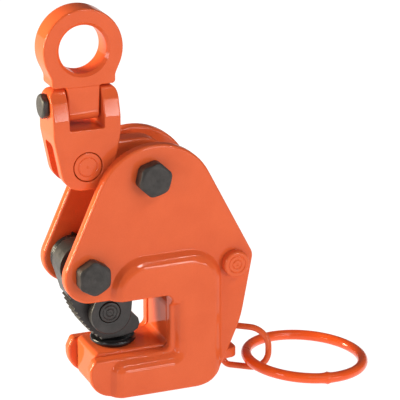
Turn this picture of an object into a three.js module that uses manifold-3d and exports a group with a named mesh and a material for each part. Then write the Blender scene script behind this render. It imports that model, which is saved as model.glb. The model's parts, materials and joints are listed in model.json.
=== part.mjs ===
// Plate lifting clamp (lateral type): two side plates with raised C ribs around a jaw block, a toothed
// cam worked by a bell-crank lever and a pair of link cheeks, a coupling with a lifting eye above, and
// a small wire link with a pull ring at the tail.
// Millimetres. X to the right in the front view, Y away from the viewer, Z up, base on Z = 0.
import * as THREE from "three";
import { mergeVertices } from "three/addons/utils/BufferGeometryUtils.js";
import Module from "manifold-3d";

const wasm = await Module();
wasm.setup();

// ---- driving dimensions -------------------------------------------------------------------------
const PLATE_T = 7; // side plate thickness
const PLATE_GAP = 31; // clear width between the side plates
const RIB_H = 5; // height of the raised C rib
const HAIR = 0.3; // gap left between touching pieces
const BASE_Z = 0; // underside of the lower jaw
const THROAT_X = 12; // back wall of the throat
const THROAT_TOP = 58; // lower edge of the upper arm
const JAW_TOP = 24.5; // top of the jaw block under the pad
const LEVER_PIVOT = [1.3, 127.7]; // top bolt (X, Z)
const CAM_PIVOT = [-34.5, 75]; // cam bolt (X, Z)
const RIVET = [50.7, 71.1]; // spacer rivet (X, Z)
const CRANK = [13.5, -27]; // lever pivot to upper link pin, and cam pivot to lower link pin
const COUPLING_PIVOT = [-31.7, 134.2]; // coupling pin (X, Z)
const EYE_PIVOT_Z = 168; // cross bolt height
const EYE_R = 22.8; // lifting eye, outside
const EYE_BORE = 13.5; // lifting eye, bore radius
const EYE_T = 16; // lifting eye thickness
const EYE_Z = 199.2; // centre of the eye
const COUPLING_T = 24.7; // coupling thickness
const COUPLING_W = 38.8; // coupling width over the upper ears
const LEVER_T = 12;
const CAM_T = 14;
const CHEEK_T = 6.6; // link cheek thickness
const BOLT_R = 6; // M12 top and cam bolts
const HEX_AF = 18; // across flats of their heads and nuts
const HEAD_H = 8; // height of their heads
const NUT_H = 6; // height of their thin nuts
const CROSS_R = 4; // M8 cross bolt
const CROSS_AF = 13;
const CROSS_HEAD_H = 3.6; // height of its thin head
const COUPLING_PIN_R = 8;
const LINK_PIN_R = 6; // lower link pin
const CRANK_PIN_R = 5; // upper link pin
const RIVET_R = 6;
const PAD = [-14.4, 13.1]; // swivel pad: X position, radius
const PAD_TOP = 28.6;
const CAM_REACH = 52.6; // cam pivot to the tip of the cam nose
const LUG = [51, -6.5]; // hole of the ring lug (X, Y)
const LUG_Z = [8, 14];
const WIRE_R = 1.8; // wire link
const WIRE_YAW = -38; // swing of the wire link about its lug, degrees
const RING_R = 34; // pull ring, centre line
const RING_WIRE = 3;
const RING_C = [96.3, -20.5, 5.35]; // centre of the pull ring at rest
const RING_TILT = 3.8; // rise of its near end over the wire link, degrees
const WELD_AT = -92; // butt weld on the pull ring, degrees round it

const IN = PLATE_GAP / 2; // inner faces of the plates
const OUT = IN + PLATE_T; // outer faces

// ---- materials ----------------------------------------------------------------------------------
const mat = (color, roughness, metalness) =>
  new THREE.MeshStandardMaterial({ color, roughness, metalness });
const PAINT = mat(0xe2552b, 0.32, 0.1);
const RING_PAINT = mat(0xe8441f, 0.3, 0.1);
const BLACK = mat(0x3a3634, 0.45, 0.6);
const CAM_STEEL = mat(0x34302f, 0.5, 0.6);
const PAD_STEEL = mat(0x17171a, 0.3, 0.6);
const BRONZE = mat(0xb08742, 0.35, 0.9);
const SPRING_STEEL = mat(0x7d7f83, 0.3, 0.95);

// ---- solids -------------------------------------------------------------------------------------
// A closed three.js geometry as a manifold solid with its faces pointing out.
function solid(geometry) {
  const g = geometry.index ? geometry.toNonIndexed() : geometry.clone();
  for (const key of Object.keys(g.attributes)) if (key !== "position") g.deleteAttribute(key);
  const merged = mergeVertices(g, 1e-4);
  const p = merged.attributes.position;
  const src = merged.index.array;
  const tris = [];
  let volume = 0;
  const [a, b, c] = [new THREE.Vector3(), new THREE.Vector3(), new THREE.Vector3()];
  for (let i = 0; i < src.length; i += 3) {
    if (src[i] === src[i + 1] || src[i + 1] === src[i + 2] || src[i] === src[i + 2]) continue;
    tris.push(src[i], src[i + 1], src[i + 2]);
    a.fromBufferAttribute(p, src[i]);
    b.fromBufferAttribute(p, src[i + 1]);
    c.fromBufferAttribute(p, src[i + 2]);
    volume += a.dot(b.cross(c));
  }
  if (volume < 0) tris.reverse();
  return new wasm.Manifold(new wasm.Mesh({
    numProp: 3, vertProperties: new Float32Array(p.array), triVerts: new Uint32Array(tris),
  }));
}

const join = (...parts) => parts.reduce((sum, s) => sum.add(s));
const cut = (body, ...tools) => tools.reduce((rest, s) => rest.subtract(s), body);

function geometryOf(body) {
  const mesh = body.getMesh();
  const g = new THREE.BufferGeometry();
  g.setAttribute("position", new THREE.BufferAttribute(new Float32Array(mesh.vertProperties), 3));
  g.setIndex(Array.from(mesh.triVerts));
  const flat = g.toNonIndexed();
  flat.computeVertexNormals();
  return flat;
}

// ---- outlines -----------------------------------------------------------------------------------
// Polygon with rounded corners; each corner is [x, y, radius]. Returns a counter-clockwise list.
function rounded(corners, step = 14) {
  const pts = [];
  const n = corners.length;
  for (let i = 0; i < n; i++) {
    const [x, y, r = 0] = corners[i];
    const p = new THREE.Vector2(x, y);
    const a = new THREE.Vector2(...corners[(i + n - 1) % n].slice(0, 2)).sub(p);
    const b = new THREE.Vector2(...corners[(i + 1) % n].slice(0, 2)).sub(p);
    const la = a.length(), lb = b.length();
    a.divideScalar(la);
    b.divideScalar(lb);
    const inner = Math.acos(THREE.MathUtils.clamp(a.dot(b), -1, 1));
    if (r <= 0 || inner > Math.PI - 1e-3) {
      pts.push(p);
      continue;
    }
    const reach = r / Math.tan(inner / 2);
    const centre = a.clone().add(b).normalize().multiplyScalar(r / Math.sin(inner / 2)).add(p);
    const from = a.clone().multiplyScalar(reach).add(p).sub(centre);
    const to = b.clone().multiplyScalar(reach).add(p).sub(centre);
    const start = from.angle();
    let turn = to.angle() - start;
    if (turn > Math.PI) turn -= 2 * Math.PI;
    if (turn < -Math.PI) turn += 2 * Math.PI;
    const count = Math.max(1, Math.ceil(Math.abs(turn) / THREE.MathUtils.degToRad(step)));
    for (let k = 0; k <= count; k++) {
      const t = start + (turn * k) / count;
      pts.push(new THREE.Vector2(centre.x + r * Math.cos(t), centre.y + r * Math.sin(t)));
    }
  }
  return THREE.ShapeUtils.isClockWise(pts) ? pts.reverse() : pts;
}

// Outline around two circles joined by their outer tangents; each circle is [x, y, radius].
function strap([x1, y1, r1], [x2, y2, r2], step = 14) {
  const dx = x2 - x1, dy = y2 - y1, d = Math.hypot(dx, dy);
  const dir = Math.atan2(dy, dx), lean = Math.acos((r1 - r2) / d);
  const pts = [];
  const arc = (x, y, r, from, to) => {
    const count = Math.max(2, Math.ceil(Math.abs(to - from) / THREE.MathUtils.degToRad(step)));
    for (let k = 0; k <= count; k++) {
      const t = from + ((to - from) * k) / count;
      pts.push(new THREE.Vector2(x + r * Math.cos(t), y + r * Math.sin(t)));
    }
  };
  arc(x1, y1, r1, dir + lean, dir + 2 * Math.PI - lean);
  arc(x2, y2, r2, dir - lean, dir + lean);
  return pts;
}

// ---- building blocks ----------------------------------------------------------------------------
const X = new THREE.Vector3(1, 0, 0), Y = new THREE.Vector3(0, 1, 0), Z = new THREE.Vector3(0, 0, 1);
const FACE_XZ = new THREE.Matrix4().makeBasis(X, Z, Y.clone().negate());
const FACE_YZ = new THREE.Matrix4().makeBasis(Y, Z, X);
const TURN_X = new THREE.Matrix4().makeBasis(Y, X, Z.clone().negate());

// Slab of an outline from 0 to thickness t, with an optional small edge bevel inside the outline.
function slab(points, t, edge = 0) {
  const shape = new THREE.Shape(points);
  const bevel = edge > 0
    ? { bevelEnabled: true, bevelThickness: edge, bevelSize: edge, bevelOffset: -edge, bevelSegments: 1 }
    : { bevelEnabled: false };
  const g = new THREE.ExtrudeGeometry(shape, { depth: t - 2 * edge, ...bevel });
  return g.translate(0, 0, edge);
}
// Outline in X-Z, from y0 to y1.
const slabY = (points, y0, y1, edge) =>
  solid(slab(points, y1 - y0, edge).applyMatrix4(FACE_XZ).translate(0, y1, 0));
// Outline in Y-Z, from x0 to x1.
const slabX = (points, x0, x1, edge) =>
  solid(slab(points, x1 - x0, edge).applyMatrix4(FACE_YZ).translate(x0, 0, 0));
// Outline in X-Y, from z0 to z1.
const slabZ = (points, z0, z1, edge) => solid(slab(points, z1 - z0, edge).translate(0, 0, z0));

// Turned profile [radius, height] around the Y axis, starting and ending on the axis.
const lathe = (profile, segments = 32) =>
  new THREE.LatheGeometry(profile.map(([r, h]) => new THREE.Vector2(r, h)), segments);
const turnY = (profile, x, z, segments) => solid(lathe(profile, segments).translate(x, 0, z));
const turnX = (profile, y, z, segments) =>
  solid(lathe(profile, segments).applyMatrix4(TURN_X).translate(0, y, z));
const turnZ = (profile, x, y, segments) =>
  solid(lathe(profile, segments).applyMatrix4(FACE_XZ).translate(x, y, 0));

// Plain and chamfered rods, and rings, as profiles along their axis.
const rod = (r, h0, h1, c = 0) =>
  c > 0
    ? [[0, h0], [r - c, h0], [r, h0 + c], [r, h1 - c], [r - c, h1], [0, h1]]
    : [[0, h0], [r, h0], [r, h1], [0, h1]];
const sleeve = (ri, ro, h0, h1) => [[ri, h0], [ro, h0], [ro, h1], [ri, h1], [ri, h0]];

// Rod along Y through the point (x, z), for pins and bores.
const bore = (r, half, x = 0, z = 0, segments = 28) => turnY(rod(r, -half, half), x, z, segments);

function box(x0, x1, y0, y1, z0, z1) {
  return solid(new THREE.BoxGeometry(x1 - x0, y1 - y0, z1 - z0)
    .translate((x0 + x1) / 2, (y0 + y1) / 2, (z0 + z1) / 2));
}

// Hexagon across flats af; a corner points along the outline's second axis.
function hexagon(af, cx = 0, cy = 0) {
  const r = af / Math.sqrt(3);
  return Array.from({ length: 6 }, (_, i) => {
    const t = Math.PI / 6 + (i * Math.PI) / 3 + Math.PI / 3;
    return new THREE.Vector2(cx + r * Math.cos(t), cy + r * Math.sin(t));
  });
}

// ---- scene graph --------------------------------------------------------------------------------
const clamp = new THREE.Group();
clamp.name = "plate_lifting_clamp";

function group(parent, x, y, z) {
  const g = new THREE.Group();
  g.position.set(x, y, z);
  parent.add(g);
  return g;
}
function piece(parent, name, body, material) {
  const mesh = new THREE.Mesh(geometryOf(body), material);
  mesh.name = name;
  parent.add(mesh);
  return mesh;
}

// ---- side plates --------------------------------------------------------------------------------
const PLATE_OUTLINE = [
  [-35.8, 0, 14], [40, 0, 22], [55.5, 36, 60], [62.8, 74.5, 8], [1.9, 191.5, 35.5],
  [-58.2, THROAT_TOP, 15.5], [THROAT_X, THROAT_TOP, 4], [THROAT_X, 23, 4], [-33.2, 23, 2.5], [-36, 17, 4],
];
const RIB_OUTLINE = [
  [-23.5, 50, 0], [-23.5, 82.1, 21], [43, 82.1, 20.5], [43, -9, 20], [-24, -9, 0],
  [-24, 21.7, 8], [THROAT_X + 2.4, 21.7, 3], [THROAT_X + 2.4, 50, 0],
];
const RIB_INSET = 6; // run of the rib's rounded side

function ribBody() {
  const shape = new THREE.Shape(rounded(RIB_OUTLINE, 15));
  const g = new THREE.ExtrudeGeometry(shape, {
    depth: 0.6, bevelEnabled: true, bevelThickness: RIB_H, bevelSize: RIB_INSET,
    bevelOffset: -RIB_INSET, bevelSegments: 2,
  });
  const whole = solid(g.applyMatrix4(FACE_XZ).translate(0, -OUT + 0.6, 0));
  const reach = slabY(rounded(PLATE_OUTLINE, 12), -OUT - RIB_H - 1, -OUT + 0.5);
  return whole.intersect(reach);
}

function sidePlate(side) {
  const plate = slabY(rounded(PLATE_OUTLINE, 12), -OUT, -IN, 0.7);
  const hole = ([x, z], r) => turnY(rod(r, -OUT - 9, -IN + 5), x, z, 32);
  const body = cut(join(plate, ribBody()),
    hole(LEVER_PIVOT, BOLT_R + HAIR), hole(CAM_PIVOT, BOLT_R + HAIR), hole(RIVET, RIVET_R + HAIR));
  return side < 0 ? body : body.mirror([0, 1, 0]);
}

const frame = group(clamp, 0, 0, 0);
piece(frame, "front_side_plate", sidePlate(-1), PAINT);
piece(frame, "rear_side_plate", sidePlate(1), PAINT);

// ---- jaw block: lower jaw, back web with a relief for the cam nose, bore for the swivel pad ------
const SWEEP_R = CAM_REACH + 1.9;
const reliefX = (z) => CAM_PIVOT[0] + Math.sqrt(SWEEP_R ** 2 - (z - CAM_PIVOT[1]) ** 2);
const BLOCK_Y = IN - HAIR;
const relief = [47.5, 50.5, 54, 58, 62.5, 67.5].map((z) => [reliefX(z), z, 0]);
const BLOCK_OUTLINE = [
  [-31, BASE_Z, 5], [43.5, BASE_Z, 17], [43.5, 60, 5], [36, 70, 4], [reliefX(70), 70, 1.5],
  ...relief.reverse(), [THROAT_X + 0.5, 46.2, 0], [THROAT_X + 0.5, JAW_TOP, 3],
  [-31, JAW_TOP, 3],
];
const padBore = turnZ(rod(5.3, 9, JAW_TOP + 2), PAD[0], 0, 28);
const screwBore = turnZ(rod(3.3, 4, 10), PAD[0], 0, 20);
const screwHeadBore = turnZ(rod(7.2, -2, 6), PAD[0], 0, 28);
piece(frame, "jaw_block", cut(slabY(rounded(BLOCK_OUTLINE, 15), -BLOCK_Y, BLOCK_Y, 0.6),
  padBore, screwBore, screwHeadBore), PAINT);

// ---- spacer rivet: shank with a shoulder between the plates and a turned head outside each -------
const headFrom = OUT + HAIR, headTo = OUT + 5;
piece(frame, "spacer_rivet", turnY([
  [0, -headTo], [6.6, -headTo], [7.6, -headTo + 1], [7.6, -headFrom], [RIVET_R, -headFrom],
  [RIVET_R, -IN + HAIR], [9, -IN + HAIR], [9, IN - HAIR], [RIVET_R, IN - HAIR],
  [RIVET_R, headFrom], [7.6, headFrom], [7.6, headTo - 1], [6.6, headTo], [0, headTo],
], ...RIVET, 24), PAINT);

// ---- hexagon bolts and nuts through both plates --------------------------------------------------
// Hexagon body from y0 to y1 with a turned chamfer on its outer end.
function hexBody(af, y0, y1, twist) {
  const r = af / Math.sqrt(3), c = r - af / 2 + 0.6;
  const turned = turnY([[0, y0], [r + 1, y0], [r + 1, y1 - c * 0.9], [r - c, y1], [0, y1]], 0, 0, 30);
  return turned.intersect(slabY(hexagon(af), y0 - 1, y1 + 1).rotate([0, twist, 0]));
}
function throughBolt(name, [x, z], twist) {
  const seat = OUT + HAIR;
  const shank = turnY(rod(BOLT_R, -seat - 1, seat + NUT_H + 1, 0.8), 0, 0, 24);
  const bolt = join(hexBody(HEX_AF, seat, seat + HEAD_H, twist).mirror([0, 1, 0]), shank);
  piece(frame, `${name}_bolt`, bolt.translate([x, 0, z]), BLACK);
  const nut = cut(hexBody(HEX_AF, seat, seat + NUT_H, twist + 9), bore(BOLT_R + HAIR, seat + 14, 0, 0, 24));
  piece(frame, `${name}_nut`, nut.translate([x, 0, z]), BLACK);
}
throughBolt("top", LEVER_PIVOT, 14);
throughBolt("cam", CAM_PIVOT, 0);

// Spacer tubes that centre the lever and the cam between the plates.
function spacers(name, [x, z], from, r) {
  const profile = sleeve(BOLT_R + HAIR, r, from + HAIR, IN - HAIR);
  const tube = turnY(profile, x, z, 24);
  piece(frame, `${name}_spacer_rear`, tube, BLACK);
  piece(frame, `${name}_spacer_front`, tube.mirror([0, 1, 0]), BLACK);
}
spacers("top", LEVER_PIVOT, LEVER_T / 2, 11);
spacers("cam", CAM_PIVOT, CAM_T / 2, 9.5);

// ---- cam return spring: torsion coil round the rear cam spacer with two short legs ---------------
class CoilCurve extends THREE.Curve {
  constructor(radius, y0, y1, turns) {
    super();
    Object.assign(this, { radius, y0, y1, turns });
  }
  getPoint(t, target = new THREE.Vector3()) {
    const a = 2 * Math.PI * this.turns * t - 0.6;
    const y = this.y0 + (this.y1 - this.y0) * t;
    return target.set(this.radius * Math.cos(a), y, this.radius * Math.sin(a));
  }
}
function coil() {
  const wire = new THREE.Shape(new THREE.EllipseCurve(0, 0, 0.85, 0.85).getPoints(6).slice(0, 6));
  const path = new CoilCurve(11.2, CAM_T / 2 + 1.5, IN - 1.6, 3.25);
  const sweep = (steps, extrudePath) =>
    solid(new THREE.ExtrudeGeometry(wire, { steps, bevelEnabled: false, extrudePath }));
  const tube = sweep(52, path);
  const legs = [0, 1].map((t) => {
    const p = path.getPoint(t), d = path.getTangent(t).multiplyScalar(t ? 1 : -1);
    d.y = 0;
    d.normalize();
    const [from, to] = [-0.4, 6].map((along) => p.clone().addScaledVector(d, along));
    return sweep(1, new THREE.LineCurve3(from, to));
  });
  return join(tube, ...legs).translate([CAM_PIVOT[0], 0, CAM_PIVOT[1]]);
}
piece(frame, "cam_spring", coil(), SPRING_STEEL);

// ---- ring lug: flat tab with a vertical hole, on the block's back edge ---------------------------
const lugOutline = rounded([[43.8, -13.5], [57.5, -12.5, 4.5], [57.5, -0.5, 4.5], [43.8, 0.5]], 20);
piece(frame, "ring_lug", cut(slabZ(lugOutline, LUG_Z[0], LUG_Z[1], 0.6),
  turnZ(rod(WIRE_R + 0.7, LUG_Z[0] - 2, LUG_Z[1] + 2), ...LUG, 20)), PAINT);

// ---- swivel pad on its retaining screw -----------------------------------------------------------
const pad = group(clamp, PAD[0], 0, JAW_TOP);
const padT = PAD_TOP - JAW_TOP;
piece(pad, "swivel_pad", cut(
  turnZ([[0, -11], [5, -11], [5, HAIR], [11.6, HAIR], [PAD[1], HAIR + 1.2], [PAD[1], padT - 1.3],
    [PAD[1] - 1.3, padT], [8.6, padT], [7.8, padT - 0.6], [0, padT - 0.6]], 0, 0, 32),
  turnZ(rod(2.9, -13, -1), 0, 0, 20)), PAD_STEEL);
const screwProfile = [[0, -23], [6.6, -23], [6.6, -18.8], [2.6, -18.8], [2.6, -2], [0, -2]];
piece(pad, "pad_screw", turnZ(screwProfile, 0, 0, 24), BLACK);

// ---- lever: bell crank on the top bolt, with its bush and the upper link pin ---------------------
const lever = group(clamp, LEVER_PIVOT[0], 0, LEVER_PIVOT[1]);
const armX = COUPLING_PIVOT[0] - LEVER_PIVOT[0], armZ = COUPLING_PIVOT[1] - LEVER_PIVOT[1];
const HUB = [0, 0, 17.5];
const leverBody = join(
  slabY(strap(HUB, [armX, armZ, 11]), -LEVER_T / 2, LEVER_T / 2, 0.6),
  slabY(strap(HUB, [...CRANK, 9.5]), -LEVER_T / 2, LEVER_T / 2, 0.6));
piece(lever, "lever", cut(leverBody, bore(8.9, 20), bore(COUPLING_PIN_R + HAIR, 20, armX, armZ),
  bore(CRANK_PIN_R + HAIR, 20, ...CRANK)), PAINT);
const bush = (r, half) => turnY(sleeve(BOLT_R + HAIR, r, -half, half), 0, 0, 24);
piece(lever, "lever_bush", bush(8.6, LEVER_T / 2), BRONZE);
piece(lever, "upper_link_pin", bore(CRANK_PIN_R, 14.5, ...CRANK), BLACK);

// ---- cam with its bush and the lower link pin ----------------------------------------------------
const cam = group(clamp, CAM_PIVOT[0], 0, CAM_PIVOT[1]);
const CAM_BACK = [[29, -31.5], [27, -24.5], [22.5, -12.5]]; // nose back up to the hub
const CAM_NOSE = [[15.5, -46.1], [23.5, -45.7], [29.5, -44.5], [32.7, -42.3], [33.9, -39.5], [33.1, -35.9]];
const TEETH = 11;

// Toothed flank from the hub down to the contact: a large arc bulging to the left.
function camFlank() {
  const c = [40.5, -5.3], r = 50.4, from = 193, to = 233.5;
  const pts = [];
  for (let i = 0; i <= TEETH; i++) {
    const at = (k, rr) => {
      const t = THREE.MathUtils.degToRad(from + ((to - from) * k) / TEETH);
      return [c[0] + rr * Math.cos(t), c[1] + rr * Math.sin(t)];
    };
    pts.push(at(i, r));
    if (i < TEETH) pts.push(at(i + 0.82, r - 1.3));
  }
  return pts;
}
function camOutline() {
  const hub = [];
  for (let a = 0; a <= 195; a += 15) {
    hub.push([13 * Math.cos(THREE.MathUtils.degToRad(a)), 13 * Math.sin(THREE.MathUtils.degToRad(a))]);
  }
  const ring = [...hub, ...camFlank(), ...CAM_NOSE, ...CAM_BACK];
  return ring.map(([x, z]) => new THREE.Vector2(x, z));
}
piece(cam, "cam", cut(slabY(camOutline(), -CAM_T / 2, CAM_T / 2), bore(8.7, 20),
  bore(LINK_PIN_R + HAIR, 20, ...CRANK)), CAM_STEEL);
piece(cam, "cam_bush", bush(8.4, CAM_T / 2), BRONZE);
piece(cam, "lower_link_pin", turnY(rod(LINK_PIN_R, -14.8, 14.8, 0.5), ...CRANK, 32), CAM_STEEL);

// ---- link cheeks either side of the cam and the lever --------------------------------------------
const link = group(cam, CRANK[0], 0, CRANK[1]);
const toCrank = [LEVER_PIVOT[0] - CAM_PIVOT[0], LEVER_PIVOT[1] - CAM_PIVOT[1]];
const FOOT = [1, -1.5, 12];
const KNEE = [4.8, 13, 9.5];
function cheek(side) {
  const y0 = CAM_T / 2 + 0.6, y1 = y0 + CHEEK_T;
  const body = join(
    slabY(strap(FOOT, KNEE), y0, y1, 0.5),
    slabY(strap(KNEE, [...toCrank, 9.5]), y0, y1, 0.5));
  const open = cut(body, bore(LINK_PIN_R + HAIR, 20), bore(CRANK_PIN_R + 0.5, 20, ...toCrank));
  return side < 0 ? open.mirror([0, 1, 0]) : open;
}
piece(link, "front_link", cheek(-1), CAM_STEEL);
piece(link, "rear_link", cheek(1), CAM_STEEL);

// ---- coupling: clevis down to the lever, clevis up to the eye, turned 90 degrees ------------------
const coupling = group(clamp, COUPLING_PIVOT[0], 0, COUPLING_PIVOT[1]);
const axisH = EYE_PIVOT_Z - COUPLING_PIVOT[1]; // cross bolt above the coupling pin
const halfW = COUPLING_W / 2, halfT = COUPLING_T / 2;
const EAR_TOP = axisH + 9.6;
const couplingFace = rounded([
  [-halfW, EAR_TOP, 4.5], [-halfW, 18.2, 14], [-13.3, -13.4, 12.5], [13.3, -13.4, 12.5], [halfW, 18.2, 14],
  [halfW, EAR_TOP, 4.5],
]);
const couplingSide = rounded([
  [-halfT, -14, 1.5], [halfT, -14, 1.5], [halfT, axisH - 6.3, 0], [9.6, axisH + 3, 3], [8, EAR_TOP, 7],
  [-8, EAR_TOP, 7], [-9.6, axisH + 3, 3], [-halfT, axisH - 6.3, 0],
]);
const eyeSlot = box(-10, 10, -20, 20, 21.3, axisH + 30);
const leverSlotProfile = rounded([[-6.4, -30, 0], [6.4, -30, 0], [6.4, 13.4, 3], [-6.4, 13.4, 3]], 30);
const couplingBody = cut(
  slabY(couplingFace, -halfT, halfT, 0.7).intersect(slabX(couplingSide, -30, 30)),
  eyeSlot, slabX(leverSlotProfile, -30, 30), bore(COUPLING_PIN_R + HAIR, 20),
  turnX(rod(CROSS_R + HAIR, -30, 30), 0, axisH, 28));
piece(coupling, "coupling", couplingBody, PAINT);
piece(coupling, "coupling_pin", turnY(rod(COUPLING_PIN_R, -halfT + 0.1, halfT - 0.1, 0.3), 0, 0, 32), PAINT);

// Cross bolt: hexagon head on the left ear, shank through the tongue, end flush in the right ear.
function crossBolt() {
  const seat = -halfW - HAIR;
  const r = CROSS_AF / Math.sqrt(3), c = r - CROSS_AF / 2 + 0.5;
  const end = seat - CROSS_HEAD_H;
  const chamferTo = end + c * 0.6 + 0.4;
  const turned = turnX([[0, end], [r - c, end], [r + 1, chamferTo], [r + 1, seat], [0, seat]], 0, 0, 36);
  const head = turned.intersect(slabX(hexagon(CROSS_AF), seat - 7, seat + 1));
  return join(head, turnX(rod(CROSS_R, seat - 1, halfW - 0.3), 0, 0, 28)).translate([0, 0, axisH]);
}
piece(coupling, "cross_bolt", crossBolt(), BLACK);

// ---- lifting eye ---------------------------------------------------------------------------------
const eye = group(clamp, COUPLING_PIVOT[0], 0, EYE_PIVOT_Z);
const ringH = EYE_Z - EYE_PIVOT_Z; // eye centre above the cross bolt
function eyeBody() {
  const t = EYE_T / 2;
  const disc = turnY(rod(EYE_R, -t, t, 1), 0, ringH, 44);
  const neck = slabY(rounded([
    [-18.2, 10.9, 2], [18.2, 10.9, 2], [18.2, 16, 5], [21.6, 24, 0], [14, ringH], [-14, ringH],
    [-21.6, 24, 0], [-18.2, 16, 5],
  ]), -t, t, 0.9);
  const tongue = slabY(rounded([[-8.8, -9.4, 1], [8.8, -9.4, 1], [9.5, 14], [-9.5, 14]]), -t, t, 0.5);
  const tip = slabX(rounded([[-t, -9.3, 6.5], [t, -9.3, 6.5], [t, 16, 0], [-t, 16, 0]], 12), -12, 12);
  const hole = turnY([[0, -t - 1], [EYE_BORE + 2.7, -t - 1], [EYE_BORE, -t + 1.7], [EYE_BORE, t - 1.7],
    [EYE_BORE + 2.7, t + 1], [0, t + 1]], 0, ringH, 40);
  return cut(join(disc, neck, tongue.intersect(tip)), hole, turnX(rod(CROSS_R + HAIR, -30, 30), 0, 0, 28));
}
piece(eye, "lifting_eye", eyeBody(), PAINT);

// ---- wire link through the lug, and the pull ring -------------------------------------------------
// Stretch of a closed planar spine, from one point number to another.
class SpineCurve extends THREE.Curve {
  constructor(points, from, to) {
    super();
    Object.assign(this, { points, from, to });
  }
  getPoint(t, target = new THREE.Vector3()) {
    const s = this.from + (this.to - this.from) * t, i = Math.floor(s), n = this.points.length;
    return target.lerpVectors(this.points[i % n], this.points[(i + 1) % n], s - i);
  }
}
// Closed wire loop in the X-Z plane, swept as two overlapping halves.
function wireBody(length, z0, z1, corner, count = 40) {
  const run = rounded([[0, z0, 4], [length, z0, corner], [length, z1, corner], [0, z1, 4]], 22);
  const upright = run.map((v) => new THREE.Vector3(v.x, 0, v.y));
  const spine = new THREE.CatmullRomCurve3(upright, true, "centripetal");
  const points = spine.getSpacedPoints(count).slice(0, count);
  const wire = new THREE.Shape(new THREE.EllipseCurve(0, 0, WIRE_R, WIRE_R).getPoints(8).slice(0, 8));
  const half = (from, to) => solid(new THREE.ExtrudeGeometry(wire, {
    steps: count / 2, bevelEnabled: false, extrudePath: new SpineCurve(points, from, to),
  }));
  return join(half(0, count / 2 + 0.5), half(count / 2, count + 0.5));
}
const wireLink = group(clamp, LUG[0], LUG[1], 0);
wireLink.rotation.z = THREE.MathUtils.degToRad(WIRE_YAW);
piece(wireLink, "wire_link", wireBody(27, 2.2, 27, 11), PAINT);

class RingArc extends THREE.Curve {
  constructor(radius, from, to) {
    super();
    Object.assign(this, { radius, from, to });
  }
  getPoint(t, target = new THREE.Vector3()) {
    const a = this.from + (this.to - this.from) * t;
    return target.set(this.radius * Math.cos(a), this.radius * Math.sin(a), 0);
  }
}
const ring = group(clamp, ...RING_C);
ring.rotation.y = THREE.MathUtils.degToRad(RING_TILT);
// Butt weld: a slightly thicker stretch of the ring.
const weldTurn = new THREE.Matrix4().makeRotationZ(THREE.MathUtils.degToRad(WELD_AT));
const WELD_R = RING_WIRE + 0.5;
const weldSection = new THREE.Shape(new THREE.EllipseCurve(0, 0, WELD_R, WELD_R).getPoints(10).slice(0, 10));
const weld = new THREE.ExtrudeGeometry(weldSection, {
  steps: 3, bevelEnabled: false, extrudePath: new RingArc(RING_R, -0.055, 0.055),
});
piece(ring, "pull_ring", join(solid(new THREE.TorusGeometry(RING_R, RING_WIRE, 10, 44)),
  solid(weld.applyMatrix4(weldTurn))), RING_PAINT);

export default clamp;
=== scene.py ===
import json
import math

import bpy
import bmesh
import numpy as np
from mathutils import Matrix, Vector
from mathutils.geometry import delaunay_2d_cdt


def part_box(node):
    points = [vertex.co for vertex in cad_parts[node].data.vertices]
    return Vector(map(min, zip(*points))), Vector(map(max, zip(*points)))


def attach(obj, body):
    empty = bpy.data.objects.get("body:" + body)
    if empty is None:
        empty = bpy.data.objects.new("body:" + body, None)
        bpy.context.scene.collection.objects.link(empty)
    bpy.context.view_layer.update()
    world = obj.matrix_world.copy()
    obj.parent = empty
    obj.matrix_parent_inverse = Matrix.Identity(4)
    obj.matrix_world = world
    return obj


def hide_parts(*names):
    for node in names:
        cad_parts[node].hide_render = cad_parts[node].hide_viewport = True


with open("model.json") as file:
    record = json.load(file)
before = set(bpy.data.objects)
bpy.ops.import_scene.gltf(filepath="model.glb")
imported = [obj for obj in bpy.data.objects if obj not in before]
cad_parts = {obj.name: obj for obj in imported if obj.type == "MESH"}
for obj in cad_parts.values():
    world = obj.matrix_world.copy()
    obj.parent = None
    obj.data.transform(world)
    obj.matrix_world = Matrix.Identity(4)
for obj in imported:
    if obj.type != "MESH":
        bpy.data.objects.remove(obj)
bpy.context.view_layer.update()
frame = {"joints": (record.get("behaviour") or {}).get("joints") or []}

MM = 0.001

# ---- places taken from the frame ----------------------------------------------------------------


def corners_of(node):
    """Lowest and highest corner of a CAD node, in millimetres."""
    lo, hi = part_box(node)
    return lo / MM, hi / MM


def middle_of(node):
    """(x, z) of the middle of a CAD node's box."""
    lo, hi = corners_of(node)
    return (lo.x + hi.x) / 2, (lo.z + hi.z) / 2


PIVOT = {j["name"]: Vector(j["pos_m"]) / MM for j in frame["joints"]}
LEVER_AT = (PIVOT["lever_swing"].x, PIVOT["lever_swing"].z)
CAM_AT = (PIVOT["cam_swing"].x, PIVOT["cam_swing"].z)
LINK_AT = (PIVOT["link_swing"].x, PIVOT["link_swing"].z)
COUPLING_AT = (PIVOT["coupling_swing"].x, PIVOT["coupling_swing"].z)
EYE_AT = (PIVOT["eye_tilt"].x, PIVOT["eye_tilt"].z)
PAD_AT = (PIVOT["pad_spin"].x, PIVOT["pad_spin"].y)
LUG_AT = (PIVOT["wire_swing"].x, PIVOT["wire_swing"].y)
RIVET_AT = middle_of("spacer_rivet")
CRANK = (LINK_AT[0] - CAM_AT[0], LINK_AT[1] - CAM_AT[1])
UPPER_PIN_AT = (LEVER_AT[0] + CRANK[0], LEVER_AT[1] + CRANK[1])

PLATE_T = 7.0
INNER = -corners_of("front_side_plate")[1].y  # half the gap between the side plates
OUTER = INNER + PLATE_T  # flat outer face of a side plate

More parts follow.
